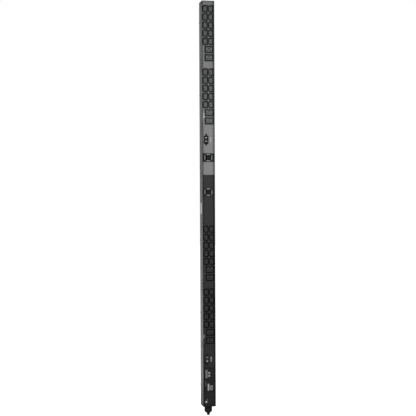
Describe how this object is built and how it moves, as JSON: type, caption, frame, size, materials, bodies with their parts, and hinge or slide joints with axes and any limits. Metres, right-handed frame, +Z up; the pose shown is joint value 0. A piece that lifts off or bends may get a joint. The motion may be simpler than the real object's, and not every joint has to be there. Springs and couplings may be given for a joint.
{
  "type": "rack power strip",
  "caption": "Tall rack power strip: steel channel with recessed outlet banks, rocker breakers, load meters, a network panel and a cable gland.",
  "frame": {"origin": "Midway between the two mounting pegs, on the plane where the rack's sheet lies under the peg heads.", "axes": "+Z runs up the length, -Y faces the user with the outlets, +Y points out of the back along the pegs, +X is to the right seen from the front."},
  "size_m": [0.0592, 0.0662, 1.82],
  "materials": {
    "chassis_black": "semi-gloss powder coat",
    "plate_light_grey": "satin paint",
    "plate_charcoal": "satin paint",
    "label_grey": "blank label plate",
    "plated_steel": "zinc plated",
    "socket_dark_grey": "moulded, fine grain",
    "socket_black": "moulded, fine grain",
    "copper_strip": "stamped copper",
    "rocker_plastic": "moulded",
    "ring_grey": "moulded",
    "smoked_window": "smoked acrylic",
    "circuit_board": "solder mask",
    "display_glass": "unlit liquid crystal",
    "button_grey": "moulded",
    "black_rubber": "matte",
    "black_plastic": "moulded"
  },
  "bodies": {
    "housing": {"rear_channel": "chassis_black", "side_walls": "chassis_black", "top_end_cap": "chassis_black", "bottom_end_cap": "chassis_black", "top_filler_plate": "plate_light_grey", "bank_1_plate": "socket_dark_grey", "upper_filler_plate": "plate_light_grey", "bank_2_plate": "socket_dark_grey", "upper_meter_plate": "plate_light_grey", "lower_meter_plate": "plate_charcoal", "bank_3_plate": "socket_black", "lower_filler_plate": "plate_charcoal", "bank_4_plate": "socket_black", "control_plate": "plate_charcoal", "bank_label_plates": "label_grey", "case_screws": "chassis_black", "mounting_pegs": "plated_steel", "peg_nuts": "plated_steel", "bank_1_socket_frames": "socket_dark_grey", "bank_1_contact_carriers": "socket_dark_grey", "bank_2_socket_frames": "socket_dark_grey", "bank_2_contact_carriers": "socket_dark_grey", "bank_3_socket_frames": "socket_black", "bank_3_contact_carriers": "socket_black", "bank_4_socket_frames": "socket_black", "bank_4_contact_carriers": "socket_black", "upper_line_busbar": "copper_strip", "upper_neutral_busbar": "copper_strip", "upper_earth_busbar": "copper_strip", "lower_line_busbar": "copper_strip", "lower_neutral_busbar": "copper_strip", "lower_earth_busbar": "copper_strip", "upper_breaker_body": "black_plastic", "lower_breaker_body": "black_plastic", "breaker_screws": "chassis_black", "upper_meter_case": "black_plastic", "upper_meter_ring": "ring_grey", "upper_meter_window": "smoked_window", "upper_meter_board": "circuit_board", "lower_meter_case": "black_plastic", "lower_meter_ring": "ring_grey", "lower_meter_window": "smoked_window", "lower_meter_board": "circuit_board", "current_transformers": "black_plastic", "control_panel": "black_plastic", "display_window": "display_glass", "network_jack": "plated_steel", "network_board": "circuit_board", "power_supply_board": "circuit_board", "terminal_block": "black_plastic", "feed_leads": "black_rubber", "ground_screw": "plated_steel", "gland_body": "black_plastic", "gland_seal": "black_rubber", "gland_nut": "black_plastic", "gland_locknut": "plated_steel"},
    "upper_rocker": {"upper_breaker_rocker": "rocker_plastic"},
    "lower_rocker": {"lower_breaker_rocker": "rocker_plastic"},
    "upper_button": {"upper_scroll_button": "button_grey"},
    "lower_button": {"lower_scroll_button": "button_grey"}
  },
  "joints": [
    {"name": "upper_breaker_switch", "type": "hinge", "parent": "housing", "child": "upper_rocker", "pos_m": [-0.009, -0.0518, 0.282], "axis": [1, 0, 0], "range_deg": [0, 24]},
    {"name": "lower_breaker_switch", "type": "hinge", "parent": "housing", "child": "lower_rocker", "pos_m": [-0.009, -0.0518, -0.6822], "axis": [1, 0, 0], "range_deg": [0, 24]},
    {"name": "upper_scroll_press", "type": "slide", "parent": "housing", "child": "upper_button", "axis": [0, 1, 0], "range_m": [0, 0.001], "stiffness_N_per_m": 600, "springref_m": -0.001},
    {"name": "lower_scroll_press", "type": "slide", "parent": "housing", "child": "lower_button", "axis": [0, 1, 0], "range_m": [0, 0.001], "stiffness_N_per_m": 600, "springref_m": -0.001}
  ]
}
